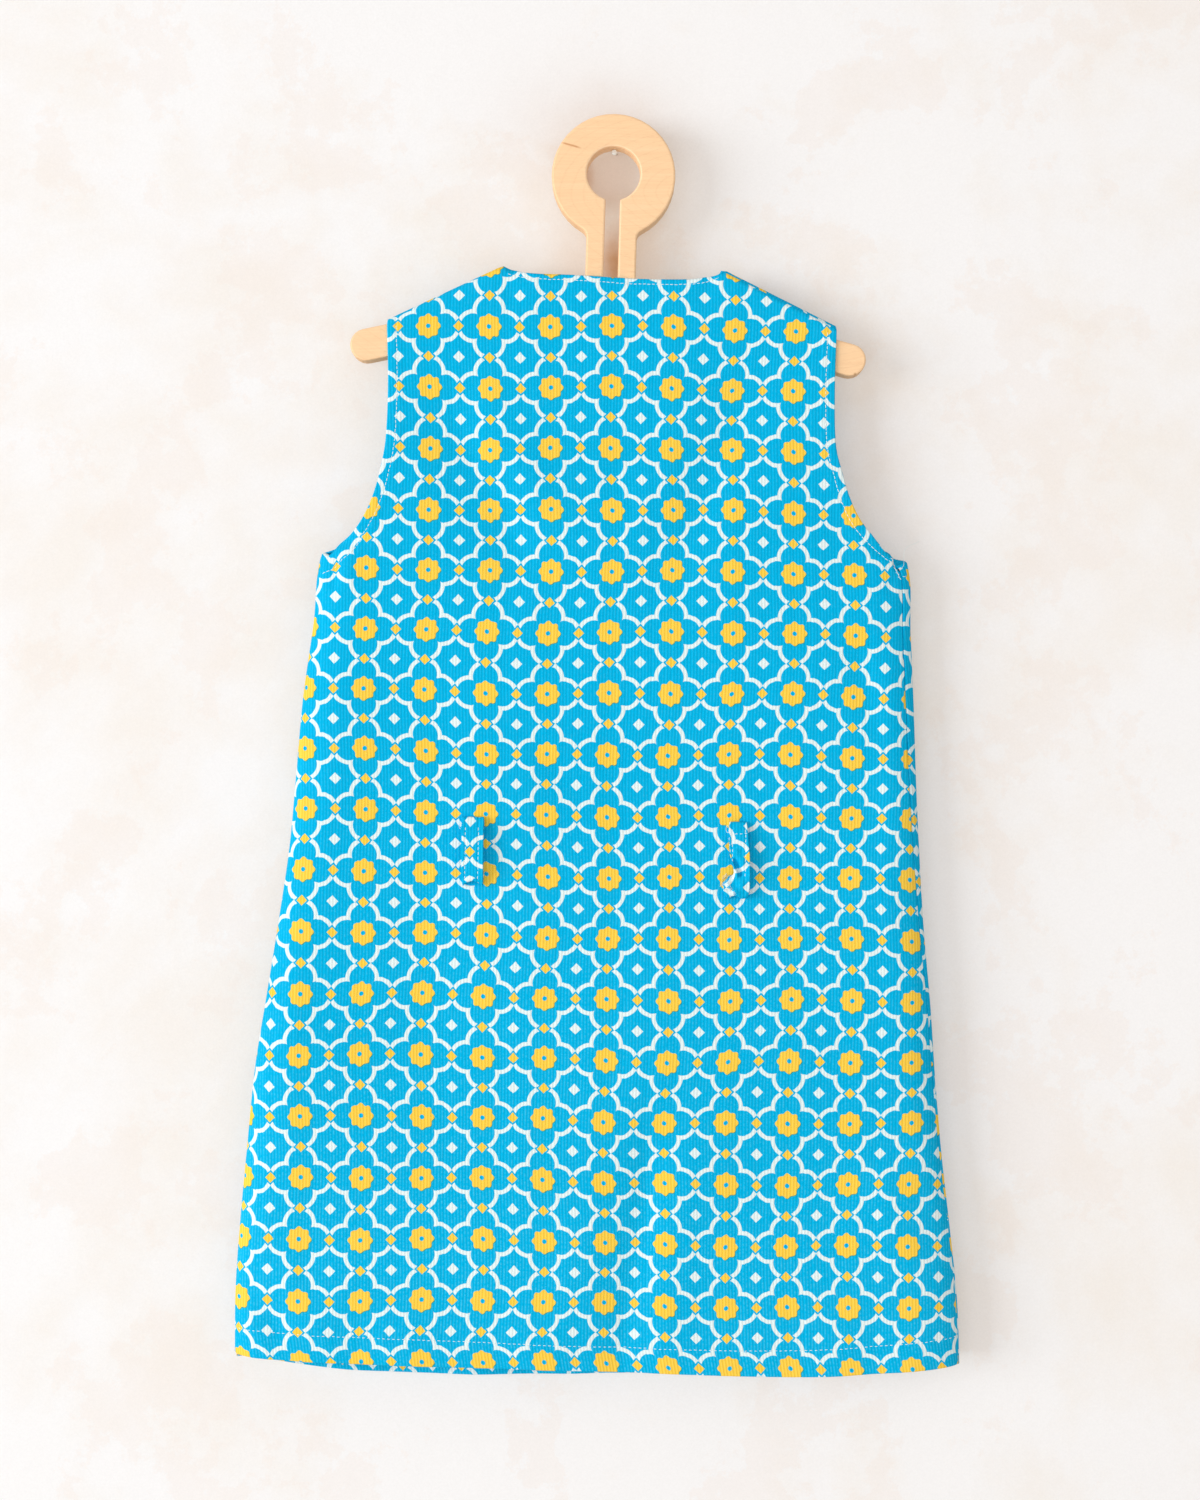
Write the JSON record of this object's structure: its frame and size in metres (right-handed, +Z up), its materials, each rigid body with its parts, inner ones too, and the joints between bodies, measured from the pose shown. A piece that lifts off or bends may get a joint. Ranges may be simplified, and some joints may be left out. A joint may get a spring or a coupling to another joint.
{
  "type": "child's sleeveless sundress on a keyhole hanger",
  "caption": "Child's sleeveless A-line sundress in printed ribbed cotton, hanging flat from a wooden keyhole hanger that a nail or hook holds.",
  "frame": {"origin": "where the nail carries the hanger: the top of the hanger's hole, in the middle of its thickness", "axes": "+Z up, -Y out of the back of the dress (the side that shows), +Y towards the wall, +X to the right of someone who looks at the back"},
  "size_m": [0.3926, 0.0262, 0.6856],
  "materials": {
    "printed_cotton": "matte ribbed cotton, blue with white and yellow print",
    "maple_plywood": "pale maple, smooth and lightly oiled"
  },
  "bodies": {
    "root": {"back_panel": "printed_cotton", "front_panel": "printed_cotton", "back_hem_turnup": "printed_cotton", "front_hem_turnup": "printed_cotton", "belt_loop_left": "printed_cotton", "belt_loop_right": "printed_cotton", "hanger": "maple_plywood"}
  },
  "joints": []
}
